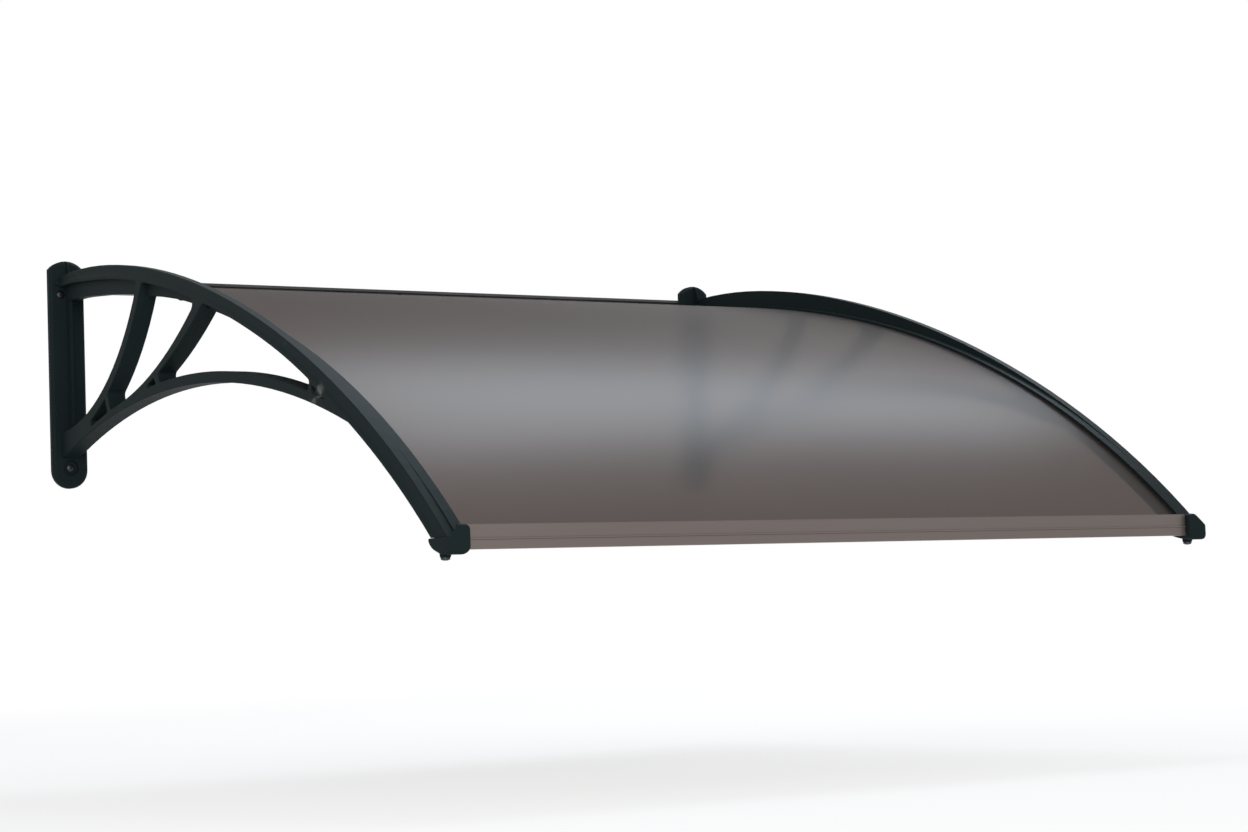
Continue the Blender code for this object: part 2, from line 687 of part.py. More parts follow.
def bracket(name):
    """One moulded bracket about x = 0 with its outer side at -X."""
    body = lattice_body(name)
    rib_foot = PLATE_THICKNESS * 0.6
    rib_top = point_at(ledge_line, RIB_REACH)[1] + RIB_LAP
    rib = slab(name + "_rib", [(rib_foot, RIB_LOW - RIB_LAP), (RIB_REACH - RIB_TOE, RIB_LOW),
                               (RIB_REACH, RIB_LOW + RIB_TOE), (RIB_REACH, rib_top), (rib_foot, rib_top)],
               RIB_THICKNESS)
    fin_top = PLATE_HEIGHT - FIN_DROP
    fin_foot = point_at(arm, FIN_REACH)[1] - FIN_LAP
    fin = slab(name + "_fin", [(rib_foot, fin_foot), (FIN_REACH, fin_foot),
                               (PLATE_THICKNESS + 1.5 * FIN_TIP, fin_top - FIN_TIP),
                               (PLATE_THICKNESS + FIN_TIP / 2, fin_top), (rib_foot, fin_top)], FIN_THICKNESS)
    bead_end_reach = PLATE_THICKNESS + BEAD_END_PROUD
    bead_end = pin(name + "_bead_end", BEAD_END_RADIUS, rib_foot, bead_end_reach,
                   (BEAD_END_X, 0.0, BEAD_END_HEIGHT), (0.0, -1.0, 0.0))
    bead_bar = make_box(name + "_bead_bar", (BEAD_END_X, -bead_end_reach, BEAD_END_HEIGHT - BEAD_END_RADIUS),
                        (-HALF + 2 * WALL_SIDE_RELIEF, -rib_foot, BEAD_END_HEIGHT + BEAD_END_RADIUS))
    unite(body, outer_wall(name + "_wall"), wall_plate(name + "_plate"), rib, fin, bead_end, bead_bar)

    floor = NOSE_HEIGHT + FIT
    behind = make_box(name + "_behind", (-0.1, 0.0, -0.2), (0.1, 0.1, 0.4))
    below = make_box(name + "_below", (-0.1, -REACH - 0.1, floor - 0.1), (0.1, -CAP_REAR + 0.06, floor))
    cut(body, behind, below)

    triangle_low = point_at(arc_top, OPENING_END + CROTCH_MARGIN)
    crotch_end = np.array([triangle_low + (0.0, 0.03), triangle_low - (0.0, 0.01)])
    crotch, counts = enclosed([offset(arm, ledge_depth + CROTCH_LIP), arc_top, crotch_end], [CROTCH_RADIUS] * 3)
    cut(body, prism(name + "_crotch", [(-HALF - 0.002, crotch), (-HALF + CROTCH_DEPTH, crotch)]))

    for (x, z), recess in ((WALL_SCREW_LOW, LOW_RECESS_RADIUS), (WALL_SCREW_HIGH, RECESS_RADIUS)):
        cut(body, stepped_cutter(name + "_recess", WALL_SCREW, -0.001, PLATE_THICKNESS - WALL_SCREW_RECESS,
                                 PLATE_THICKNESS + 0.003, recess, (x, 0.0, z), (0.0, -1.0, 0.0)))
    for k, place in enumerate(CLAMP_PLACES):
        point, way = clamp_axis(place)
        cut(body, stepped_cutter(name + str(k), CLAMP_SCREW, 0.0, seat_depth + CLAMP_SEAT, seat_depth + 0.035,
                                 CLAMP_SCREW[0] + SCREW_PLAY, (STRIP_MIDDLE, -point[0], point[1]),
                                 (0.0, way[0], -way[1]), HOLE_STEPS))
    nose = (NOSE_SCREW_X, -NOSE_SCREW_REACH, NOSE_HEIGHT)
    cut(body, pin(name + "_nose", NOSE_SCREW[2] + SCREW_PLAY, -0.01, NOSE_SCREW_BITE + 0.001, nose,
                  (0.0, 0.0, 1.0)))
    return body


def strip(name, low_depth, high_depth, inner, outer, short=0.0):
    """A flat strip along the sheet, between two depths below its upper face, short of the nose by that much."""
    line = resample(trimmed(sheet, 0.0, short), 33)
    section = [(inner, low_depth), (outer, low_depth), (outer, high_depth), (inner, high_depth)]
    return sweep(name, line, lambda k: section)


def nose_cap(name):
    """The hull below the nose, where its side view and its front view overlap, with a boss for the screw."""
    top = NOSE_HEIGHT
    low = top - CAP_HEIGHT
    crown = top + SHOULDER_HEIGHT
    past = 0.01
    shoulder = REACH - SHOULDER_BACK
    keel = bezier((CAP_REAR, top + FIT), math.pi / 2, CAP_STERN, (CAP_FRONT, low), 0.0, CAP_KEEL, 13)
    face = CAP_FRONT - CAP_FRONT_INSET
    side_view, counts = enclosed([
        keel,
        np.array([(face, low - past), (face, crown + past)]),
        np.array([(face + past, crown), (shoulder - past, crown)]),
        np.array([(shoulder, crown + past), (shoulder, top - past)]),
        np.array([(shoulder + past, top), (CAP_REAR - past, top)]),
    ], [CAP_FRONT_RADIUS, CAP_FRONT_RADIUS, 0, 0, 0], [13, 2, 2, 2, 2])
    outer = -HALF - CAP_OVERHANG
    front_view, counts = enclosed([
        np.array([(outer - past, low), (HALF + past, low)]),
        np.array([(HALF, low - past), (HALF, crown + past)]),
        np.array([(HALF + past, crown), (FIT - past, crown)]),
        np.array([(FIT, crown + past), (FIT, top - past)]),
        np.array([(FIT + past, top), (outer - past, top)]),
        np.array([(outer, top + past), (outer, low - past)]),
    ], [CAP_INNER_RADIUS, SHOULDER_RADIUS, 0, 0, EDGE_CHAMFER, CAP_OUTER_RADIUS], [2] * 6)
    body = prism(name, [(outer - past, side_view), (HALF + past, side_view)])
    front = loft(name + "_front", [[(x, -reach, z) for x, z in front_view]
                                   for reach in (CAP_REAR - past, CAP_FRONT + past)])
    boolean(body, front, "INTERSECT")
    screw_at = (NOSE_SCREW_X, -NOSE_SCREW_REACH, 0.0)
    unite(body, pin(name + "_boss", CAP_BOSS_RADIUS, low - CAP_BOSS, top - CAP_HEIGHT / 2, screw_at, (0.0, 0.0, 1.0)))
    cut(body, pin(name + "_hole", NOSE_SCREW[2] + SCREW_PLAY, low - CAP_BOSS - 0.001, top + 0.001, screw_at,
                  (0.0, 0.0, 1.0)))
    return body


def placed(thing, side):
    """Move a piece made about x = 0 to the left or right bracket; the right side is the mirror image."""
    mesh = thing.data
    if side > 0:
        mesh.transform(Matrix.Scale(-1.0, 4, (1.0, 0.0, 0.0)))
        mesh.flip_normals()
    mesh.transform(Matrix.Translation((side * BRACKET_SPACING / 2, 0.0, 0.0)))
    return thing


# Materials
def material(name, colour, roughness, metallic=0.0, transmission=0.0):
    surface = bpy.data.materials.new(name)
    surface.use_nodes = True
    shader = surface.node_tree.nodes["Principled BSDF"]
    shader.inputs["Base Color"].default_value = (*colour, 1.0)
    shader.inputs["Roughness"].default_value = roughness
    shader.inputs["Metallic"].default_value = metallic
    shader.inputs["Transmission Weight"].default_value = transmission
    return surface


def finished(thing, name, colour, roughness, metallic=0.0, transmission=0.0):
    thing.name = name
    thing.data.name = name
    thing.data.materials.clear()
    thing.data.materials.append(material(name, colour, roughness, metallic, transmission))
    thing.data.shade_smooth()
    thing.data.set_sharp_from_angle(angle=math.radians(28))
    pieces.append(thing)


DARK_MOULDING = (0.022, 0.030, 0.031)
BRONZE_SHEET = (0.20, 0.175, 0.155)
ALUMINIUM = (0.19, 0.162, 0.150)
BLACK_RUBBER = (0.012, 0.012, 0.012)
SCREW_STEEL = (0.075, 0.078, 0.082)
pieces = []

left_bracket = bracket("bracket_left")
right_bracket = left_bracket.copy()
right_bracket.data = left_bracket.data.copy()
bpy.context.scene.collection.objects.link(right_bracket)
finished(placed(left_bracket, -1), "bracket_left", DARK_MOULDING, 0.42)
finished(placed(right_bracket, 1), "bracket_right", DARK_MOULDING, 0.42)

# Sheet with its clamp screw holes
sheet_half = BRACKET_SPACING / 2 - SHEET_EDGE_INSET
panel = strip("sheet", 0.0, SHEET_THICKNESS, -sheet_half, sheet_half)
for k, place in enumerate(CLAMP_PLACES):
    for side in (-1, 1):
        tool = clamp_cutter("hole" + str(k), place, -0.006, 0.003)
        cut(panel, placed(tool, side))
finished(panel, "sheet", BRONZE_SHEET, 0.12, 0.0, 0.5)

for side, word in ((-1, "left"), (1, "right")):
    clamp = strip("clamp", -FIT - CLAMP_THICKNESS, -FIT, FIT, HALF)
    gasket_top = SHEET_THICKNESS + FIT
    gasket = strip("gasket", gasket_top, gasket_top + GASKET_THICKNESS, GASKET_INSET, HALF - GASKET_INSET,
                   GASKET_SHORT)
    for k, place in enumerate(CLAMP_PLACES):
        cut(clamp, clamp_cutter("bite", place, -0.001, FIT + CLAMP_BITE + FIT))
        cut(gasket, clamp_cutter("hole", place, -0.008, 0.0))
        point, way = clamp_axis(place)
        seat_at = point - way * (seat_depth + CLAMP_SEAT + FIT)
        fixing = screw("clamp_screw", CLAMP_SCREW, seat_depth + CLAMP_SEAT + FIT + CLAMP_BITE,
                       (STRIP_MIDDLE, -seat_at[0], seat_at[1]), (0.0, way[0], -way[1]), HOLE_STEPS)
        finished(placed(fixing, side), "clamp_screw_" + word + "_" + str(k + 1), SCREW_STEEL, 0.3, 1.0)
    finished(placed(clamp, side), "clamp_strip_" + word, DARK_MOULDING, 0.42)
    finished(placed(gasket, side), "gasket_" + word, BLACK_RUBBER, 0.7)

    cap = nose_cap("nose_cap")
    finished(placed(cap, side), "nose_cap_" + word, DARK_MOULDING, 0.4)
    under = NOSE_HEIGHT - CAP_HEIGHT - CAP_BOSS - FIT
    nose_fixing = screw("nose_screw", NOSE_SCREW, CAP_HEIGHT + CAP_BOSS + FIT + NOSE_SCREW_BITE,
                        (NOSE_SCREW_X, -NOSE_SCREW_REACH, under), (0.0, 0.0, -1.0))
    finished(placed(nose_fixing, side), "nose_screw_" + word, SCREW_STEEL, 0.3, 1.0)

    for end, (x, z) in (("low", WALL_SCREW_LOW), ("high", WALL_SCREW_HIGH)):
        seat_reach = PLATE_THICKNESS - WALL_SCREW_RECESS + FIT
        fixing = screw("wall_screw", WALL_SCREW, seat_reach, (x, -seat_reach, z), (0.0, -1.0, 0.0))
        finished(placed(fixing, side), "wall_screw_" + word + "_" + end, SCREW_STEEL, 0.3, 1.0)

# Front profile: a fascia with a jaw that takes the sheet's front edge
front_down = downs(sheet)[-1]
front_half = BRACKET_SPACING / 2 - HALF - FIT


def beside_front(back, depth):
    return sheet[-1] - front_way * back + front_down * depth


def at_reach(depth, reach):
    start = beside_front(0.0, depth)
    return start + front_way * (reach - start[0]) / front_way[0]


def at_height(depth, height):
    start = beside_front(0.0, depth)
    return start + front_way * (height - start[1]) / front_way[1]


fascia_back = FASCIA_FACE - FASCIA_WALL
fascia_low = FASCIA_TOP - FASCIA_HEIGHT
ridge_top = FASCIA_TOP - FASCIA_RIDGE_DROP
jaw_depth = SHEET_THICKNESS + FIT
fascia = [
    (FASCIA_FACE, FASCIA_TOP),
    (FASCIA_FACE, ridge_top),
    (FASCIA_FACE + FASCIA_RIDGE_PROUD, ridge_top - FASCIA_RIDGE_PROUD),
    (FASCIA_FACE + FASCIA_RIDGE_PROUD, ridge_top - FASCIA_RIDGE_WIDTH + FASCIA_RIDGE_PROUD / 2),
    (FASCIA_FACE, ridge_top - FASCIA_RIDGE_WIDTH),
    (FASCIA_FACE, fascia_low),
    (FASCIA_FACE - FASCIA_RETURN, fascia_low),
    (FASCIA_FACE - FASCIA_RETURN, fascia_low + FASCIA_WALL),
    (fascia_back, fascia_low + FASCIA_WALL),
    tuple(at_reach(jaw_depth + JAW_THICKNESS, fascia_back)),
    tuple(beside_front(JAW_LENGTH, jaw_depth + JAW_THICKNESS)),
    tuple(beside_front(JAW_LENGTH, jaw_depth)),
    tuple(at_reach(jaw_depth, fascia_back)),
    (fascia_back, FASCIA_TOP - FASCIA_WALL),
    tuple(at_height(-FIT, FASCIA_TOP - FASCIA_WALL)),
    tuple(at_height(-FIT, FASCIA_TOP)),
]
finished(prism("front_profile", [(-front_half, fascia), (front_half, fascia)]), "front_profile", ALUMINIUM, 0.35, 1.0)

# Wall rail: a channel that takes the sheet's rear edge, screwed back between the wall plates
rail_half = BRACKET_SPACING / 2 - PLATE_WIDTH / 2 - FIT
rear_upper = point_at(sheet, SHEET_REAR_REACH)[1]
rear_slope = rear_way[1] / rear_way[0]
mouth_drop = (RAIL_DEPTH - SHEET_REAR_REACH) * rear_slope
slot_top = rear_upper + FIT
slot_low = rear_upper - SHEET_THICKNESS / rear_way[0] - FIT
slot_back = SHEET_REAR_REACH - 2 * FIT
rail = [
    (0.0, RAIL_LOW),
    (RAIL_DEPTH, RAIL_LOW),
    (RAIL_DEPTH, slot_low + mouth_drop),
    (slot_back, slot_low),
    (slot_back, slot_top),
    (RAIL_DEPTH, slot_top + mouth_drop),
    (RAIL_DEPTH, slot_top + mouth_drop + RAIL_UPPER_JAW),
    (RAIL_BACK_WALL, slot_top + RAIL_UPPER_JAW),
    (RAIL_BACK_WALL, RAIL_HIGH),
    (0.0, RAIL_HIGH),
]
rail_body = prism("wall_rail", [(-rail_half, rail), (rail_half, rail)])
rail_screw_height = (slot_top + RAIL_UPPER_JAW + RAIL_HIGH) / 2
for k in range(RAIL_SCREW_COUNT):
    x = rail_half * RAIL_SCREW_SPAN * (k / (RAIL_SCREW_COUNT - 1) - 0.5)
    cut(rail_body, pin("hole", RAIL_SCREW[2] + SCREW_PLAY, -0.001, RAIL_BACK_WALL + 0.001,
                       (x, 0.0, rail_screw_height), (0.0, -1.0, 0.0), 14))
    seat_reach = RAIL_BACK_WALL + FIT
    fixing = screw("rail_screw", RAIL_SCREW, seat_reach, (x, -seat_reach, rail_screw_height),
                   (0.0, -1.0, 0.0), HOLE_STEPS)
    finished(fixing, "rail_screw_" + str(k + 1), SCREW_STEEL, 0.3, 1.0)
finished(rail_body, "wall_rail", ALUMINIUM, 0.35, 1.0)

# Rubber seal along the top of the rail, against the wall
seal_low = RAIL_HIGH + FIT
seal = [
    (0.0, seal_low),
    (SEAL_DEPTH, seal_low),
    (SEAL_DEPTH, seal_low + SEAL_TIP * 0.5),
    (SEAL_TIP, seal_low + SEAL_HEIGHT),
    (0.0, seal_low + SEAL_HEIGHT),
]
finished(prism("rail_seal", [(-rail_half, seal), (rail_half, seal)]), "rail_seal", BLACK_RUBBER, 0.7)

# The world origin: the middle of the rail's back face
origin = bpy.data.objects.new("canopy", None)
bpy.context.scene.collection.objects.link(origin)
origin.location = (0.0, 0.0, -(RAIL_LOW + RAIL_HIGH) / 2)
for piece in pieces:
    piece.parent = origin
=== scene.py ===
import logging
import math
from collections.abc import Mapping, Sequence
from dataclasses import dataclass, field
from enum import Enum

import bmesh
import bpy
import numpy as np
from mathutils import Matrix, Vector
from mathutils.bvhtree import BVHTree


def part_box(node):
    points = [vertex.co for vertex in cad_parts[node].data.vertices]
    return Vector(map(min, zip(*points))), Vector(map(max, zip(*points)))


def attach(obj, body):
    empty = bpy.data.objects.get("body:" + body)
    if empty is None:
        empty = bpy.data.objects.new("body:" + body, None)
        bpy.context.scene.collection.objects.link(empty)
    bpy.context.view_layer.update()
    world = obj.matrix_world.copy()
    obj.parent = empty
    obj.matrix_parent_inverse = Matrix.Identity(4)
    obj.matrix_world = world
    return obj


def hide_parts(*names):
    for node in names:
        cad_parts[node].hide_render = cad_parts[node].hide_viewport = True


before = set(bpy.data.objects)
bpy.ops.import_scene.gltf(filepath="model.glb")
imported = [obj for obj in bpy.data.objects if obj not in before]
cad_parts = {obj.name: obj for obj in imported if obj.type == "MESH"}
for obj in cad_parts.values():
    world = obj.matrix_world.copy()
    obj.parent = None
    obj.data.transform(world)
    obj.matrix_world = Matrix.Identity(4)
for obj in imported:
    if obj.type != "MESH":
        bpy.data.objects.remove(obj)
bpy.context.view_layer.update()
log = logging.getLogger("door_canopy")

Colour = tuple[float, float, float]


class Slot(Enum):
    """The material slots that the record names."""

    MOULDING = "dark_moulding"
    SHEET = "bronze_sheet"
    PROFILE = "aluminium_profile"
    RUBBER = "black_rubber"
    SCREW = "screw_steel"


class Side(Enum):
    """The two brackets, by the side they stand on when seen from the street."""

    LEFT = "left"
    RIGHT = "right"


class Term:
    """A number socket that takes part in arithmetic: each operator adds one Math node."""

    def __init__(self, graph: "Graph", socket: bpy.types.NodeSocket) -> None:
        """Wrap the output socket that gives the number, in its material graph."""
        self.graph = graph
        self.socket = socket

    def _with(self, operation: str, first: "Term | float", second: "Term | float") -> "Term":
        """The result of one more Math node, with an upper and a lower operand."""
        made = self.graph.node("ShaderNodeMath", {"operation": operation}, {0: first, 1: second})
        return Term(self.graph, made.outputs[0])

    def __add__(self, other: "Term | float") -> "Term":
        """Sum."""
        return self._with("ADD", self, other)

    def __rsub__(self, other: float) -> "Term":
        """A number less the term."""
        return self._with("SUBTRACT", other, self)

    def __mul__(self, other: "Term | float") -> "Term":
        """Product."""
        return self._with("MULTIPLY", self, other)

    def at_most(self, limit: float) -> "Term":
        """The smaller of the term and the limit."""
        return self._with("MINIMUM", self, limit)


Feed = Term | bpy.types.NodeSocket | float | Sequence[float]


@dataclass(frozen=True)
class Pattern:
    """One smooth noise: its waves in a metre, its finer octaves, and how it is drawn out along X, Y and Z."""

    waves: float
    octaves: float = 2.0
    octave_weight: float = 0.5
    stretch: tuple[float, float, float] = (1.0, 1.0, 1.0)


@dataclass(frozen=True)
class Marks:
    """Patches of a second look: the noise that places them, and its values where they start and are full."""

    pattern: Pattern
    start: float
    full: float


class Graph:
    """The node tree of one material, filled by a few plain calls."""

    def __init__(self, name: str) -> None:
        """Make an empty material.

        Args:
            name: the material's name.
        """
        self.material = bpy.data.materials.new(name)
        self.material.use_nodes = True
        self.tree = self.material.node_tree
        self.tree.nodes.clear()

    def node(self, kind: str, settings: Mapping[str, object] | None = None,
             feeds: Mapping[str | int, Feed] | None = None) -> bpy.types.Node:
        """Add one node.

        Args:
            kind: the node's type.
            settings: its properties.
            feeds: a value or a link for each named or numbered input.

        Returns:
            The new node.
        """
        made = self.tree.nodes.new(kind)
        for key, value in (settings or {}).items():
            setattr(made, key, value)
        for key, value in (feeds or {}).items():
            self._feed(made.inputs[key], value)
        return made

    def _feed(self, socket: bpy.types.NodeSocket, value: Feed) -> None:
        """Link or set one input socket.

        Args:
            socket: the input.
            value: a term or an output socket to link, or a plain value to set.
        """
        if isinstance(value, Term):
            self.tree.links.new(value.socket, socket)
        elif isinstance(value, bpy.types.NodeSocket):
            self.tree.links.new(value, socket)
        else:
            socket.default_value = value

    def place(self) -> bpy.types.NodeSocket:
        """Object coordinates."""
        return self.node("ShaderNodeTexCoord").outputs["Object"]

    def noise(self, pattern: Pattern) -> Term:
        """Smooth noise from 0 to 1.

        Args:
            pattern: the noise's sizes.

        Returns:
            The noise as a term.
        """
        drawn = self.node("ShaderNodeMapping", None, {"Vector": self.place(), "Scale": pattern.stretch})
        made = self.node("ShaderNodeTexNoise", None, {
            "Vector": drawn.outputs[0], "Scale": pattern.waves, "Detail": pattern.octaves,
            "Roughness": pattern.octave_weight})
        return Term(self, made.outputs["Fac"])

    def marks(self, marks: Marks) -> Term:
        """Patches of 1 on a ground of 0, with soft rims."""
        return self.window(self.noise(marks.pattern), marks.start, marks.full)

    def spot(self, centre: Sequence[float], core: float, reach: float) -> Term:
        """A term that is 1 from a place out to the core's radius, and falls to 0 at the reach."""
        away = self.node("ShaderNodeVectorMath", {"operation": "DISTANCE"}, {0: self.place(), 1: centre})
        return 1.0 - self.window(Term(self, away.outputs["Value"]), core, reach)

    def window(self, value: Term, low: float, high: float) -> Term:
        """A term that rises from 0 to 1 between two of its values.

        Args:
            value: the term.
            low: where the rise starts.
            high: where it ends.

        Returns:
            The risen term.
        """
        made = self.node("ShaderNodeMapRange", {"interpolation_type": "SMOOTHSTEP"}, {
            "Value": value, "From Min": low, "From Max": high})
        return Term(self, made.outputs[0])

    def blend(self, first: Colour, second: Colour, share: Term) -> bpy.types.NodeSocket:
        """A colour between two colours.

        Args:
            first: the colour at share 0.
            second: the colour at share 1.
            share: how much of the second colour.

        Returns:
            The colour socket.
        """
        made = self.node("ShaderNodeMix", {"data_type": "RGBA"}, {
            0: share, 6: (*first, 1.0), 7: (*second, 1.0)})
        return made.outputs[2]

    def tint(self, base: bpy.types.NodeSocket, colour: Colour, share: Term) -> bpy.types.NodeSocket:
        """The base's colour moved towards one colour, all the way at a share of 1."""
        made = self.node("ShaderNodeMix", {"data_type": "RGBA"}, {0: share, 6: base, 7: (*colour, 1.0)})
        return made.outputs[2]

    def relief(self, height: Term, depth: float) -> bpy.types.NodeSocket:
        """A bumped normal, from heights of 0 to 1 and the metres that a height of 1 stands for."""
        return self.node("ShaderNodeBump", None, {"Height": height, "Distance": depth}).outputs[0]

    def finished(self, feeds: Mapping[str | int, Feed]) -> bpy.types.Material:
        """Close the graph with a Principled shader.

        Args:
            feeds: the shader's inputs.

        Returns:
            The finished material.
        """
        shader = self.node("ShaderNodeBsdfPrincipled", None, feeds)
        self.node("ShaderNodeOutputMaterial", None, {"Surface": shader.outputs[0]})
        return self.material


@dataclass(frozen=True)
class SatinMoulding:
    """Injection moulded plastic with a fine grain, rubbed spots, and a painted highlight: light patches on
    the left crotch, where the pocket's fillets catch the light.
    """

    slot: Slot = Slot.MOULDING
    deep: Colour = (0.0088, 0.0146, 0.0156)
    light: Colour = (0.0128, 0.0196, 0.0206)
    rubbed: Colour = (0.030, 0.037, 0.039)
    # painted highlight colour, laid on the left crotch pocket
    painted_highlight_colour: Colour = (0.115, 0.118, 0.115)
    grain: Pattern = Pattern(1500.0, 2.0, 0.6)
    flow: Pattern = Pattern(9.0, 4.0, 0.55)
    scuffs: Marks = Marks(Pattern(85.0, 6.0, 0.62, (1.0, 0.35, 1.0)), 0.66, 0.82)
    # noise that breaks the painted highlight at the left crotch into patches
    painted_highlight_marks: Marks = Marks(Pattern(80.0, 2.0, 0.5, (1.0, 0.6, 1.0)), 0.48, 0.66)
    # centre and radii of the spot that holds the painted highlight
    crotch: tuple[float, float, float] = (-0.489, -0.737, -0.208)
    crotch_core: float = 0.0088
    crotch_reach: float = 0.022
    scuff_strength: float = 0.5
    relief_depth: float = 0.000030
    flow_relief: float = 0.6
    roughness: float = 0.44
    flow_roughness: float = 0.08
    grain_roughness: float = 0.06
    scuff_roughness: float = -0.08
    specular: float = 0.022

    def material(self) -> bpy.types.Material:
        """Build the material.

        Returns:
            The satin moulding material.
        """
        graph = Graph(self.slot.value + "_satin")
        grain = graph.noise(self.grain)
        flow = graph.noise(self.flow)
        scuffs = graph.marks(self.scuffs)
        # painted highlight: light patches kept to a spot at the left crotch pocket
        painted_highlight_marks = graph.marks(self.painted_highlight_marks) * graph.spot(self.crotch, self.crotch_core, self.crotch_reach)
        worn = graph.tint(graph.blend(self.deep, self.light, flow), self.rubbed, scuffs * self.scuff_strength)
        rough = flow * self.flow_roughness + grain * self.grain_roughness + scuffs * self.scuff_roughness
        return graph.finished({
            # the painted highlight at the left crotch is laid over the base colour here
            "Base Color": graph.tint(worn, self.painted_highlight_colour, painted_highlight_marks),
            "Roughness": rough + self.roughness,
            "Specular IOR Level": self.specular,
            "Normal": graph.relief(grain + flow * self.flow_relief, self.relief_depth),
        })


@dataclass(frozen=True)
class BronzeSheet:
    """Tinted polycarbonate: a brown body that lets some light through under a gloss skin."""

    slot: Slot = Slot.SHEET
    deep: Colour = (0.077, 0.057, 0.050)
    light: Colour = (0.094, 0.070, 0.061)
    dust: Colour = (0.20, 0.19, 0.18)
    haze: Pattern = Pattern(3.0, 3.0)
    drawing: Pattern = Pattern(240.0, 2.0, 0.5, (1.0, 0.02, 0.02))
    specks: Marks = Marks(Pattern(900.0, 2.0, 0.7), 0.74, 0.84)
    speck_strength: float = 0.35
    relief_depth: float = 0.000012
    drawing_relief: float = 0.4
    roughness: float = 0.45
    haze_roughness: float = 0.05
    speck_roughness: float = 0.25
    transmission: float = 0.80
    body_ior: float = 1.014
    body_specular: float = 0.04
    gloss: float = 0.17
    gloss_roughness: float = 0.31
    gloss_ior: float = 2.4

    def material(self) -> bpy.types.Material:
        """Build the material.

        Returns:
            The tinted sheet material.
        """
        graph = Graph(self.slot.value + "_tinted")
        haze = graph.noise(self.haze)
        drawing = graph.noise(self.drawing)
        specks = graph.marks(self.specks)
        body = graph.blend(self.deep, self.light, haze)
        return graph.finished({
            "Base Color": graph.tint(body, self.dust, specks * self.speck_strength),
            "Roughness": haze * self.haze_roughness + specks * self.speck_roughness + self.roughness,
            "IOR": self.body_ior,
            "Specular IOR Level": self.body_specular,
            "Transmission Weight": self.transmission,
            "Coat Weight": self.gloss,
            "Coat Roughness": self.gloss_roughness,
            "Coat IOR": self.gloss_ior,
            "Normal": graph.relief(drawing * self.drawing_relief + haze, self.relief_depth),
        })


@dataclass(frozen=True)
class BronzeProfile:
    """Extruded aluminium with a satin bronze anodising and fine die lines along its length."""

    slot: Slot = Slot.PROFILE
    deep: Colour = (0.126, 0.103, 0.095)
    light: Colour = (0.176, 0.147, 0.136)
    lines: Pattern = Pattern(2600.0, 3.0, 0.6, (0.004, 1.0, 1.0))
    cloud: Pattern = Pattern(18.0, 3.0, 0.5, (0.3, 1.0, 1.0))
    line_share: float = 0.6
    relief_depth: float = 0.000010
    roughness: float = 0.33
    line_roughness: float = 0.06
    cloud_roughness: float = 0.08
    metallic: float = 0.65

    def material(self) -> bpy.types.Material:
        """Build the material.

        Returns:
            The anodised profile material.
        """
        graph = Graph(self.slot.value + "_bronze")
        lines = graph.noise(self.lines)
        cloud = graph.noise(self.cloud)
        share = lines * self.line_share + cloud * (1.0 - self.line_share)
        return graph.finished({
            "Base Color": graph.blend(self.deep, self.light, share),
            "Metallic": self.metallic,
            "Roughness": lines * self.line_roughness + cloud * self.cloud_roughness + self.roughness,
            "Normal": graph.relief(lines, self.relief_depth),
        })


@dataclass(frozen=True)
class BlackRubber:
    """Matt extruded rubber with a slight bloom."""

    slot: Slot = Slot.RUBBER
    deep: Colour = (0.008, 0.008, 0.0085)
    bloomed: Colour = (0.030, 0.030, 0.031)
    grain: Pattern = Pattern(1100.0, 3.0, 0.6)
    bloom: Marks = Marks(Pattern(60.0, 4.0, 0.6, (0.2, 1.0, 1.0)), 0.45, 0.75)
    bloom_strength: float = 0.6
    relief_depth: float = 0.00004
    roughness: float = 0.78
    grain_roughness: float = 0.10
    bloom_roughness: float = -0.06
    specular: float = 0.3

    def material(self) -> bpy.types.Material:
        """Build the material.

        Returns:
            The rubber material.
        """
        graph = Graph(self.slot.value + "_matt")
        grain = graph.noise(self.grain)
        bloom = graph.marks(self.bloom)
        return graph.finished({
            "Base Color": graph.blend(self.deep, self.bloomed, bloom * self.bloom_strength),
            "Roughness": grain * self.grain_roughness + bloom * self.bloom_roughness + self.roughness,
            "Specular IOR Level": self.specular,
            "Normal": graph.relief(grain, self.relief_depth),
        })


@dataclass(frozen=True)
class BlackenedSteel:
    """Black zinc-plated screws, worn a little brighter where a driver has turned them."""

    slot: Slot = Slot.SCREW
    deep: Colour = (0.040, 0.043, 0.046)
    bared: Colour = (0.26, 0.26, 0.27)
    grain: Pattern = Pattern(2400.0, 3.0, 0.6)
    wear: Marks = Marks(Pattern(420.0, 4.0, 0.65), 0.56, 0.74)
    wear_strength: float = 0.7
    relief_depth: float = 0.000012
    roughness: float = 0.36
    grain_roughness: float = 0.10
    wear_roughness: float = -0.08
    metallic: float = 0.85

    def material(self) -> bpy.types.Material:
        """Build the material.

        Returns:
            The blackened screw material.
        """
        graph = Graph(self.slot.value + "_black")
        grain = graph.noise(self.grain)
        wear = graph.marks(self.wear)
        return graph.finished({
            "Base Color": graph.blend(self.deep, self.bared, wear * self.wear_strength),
            "Metallic": self.metallic,
            "Roughness": grain * self.grain_roughness + wear * self.wear_roughness + self.roughness,
            "Normal": graph.relief(grain, self.relief_depth),
        })


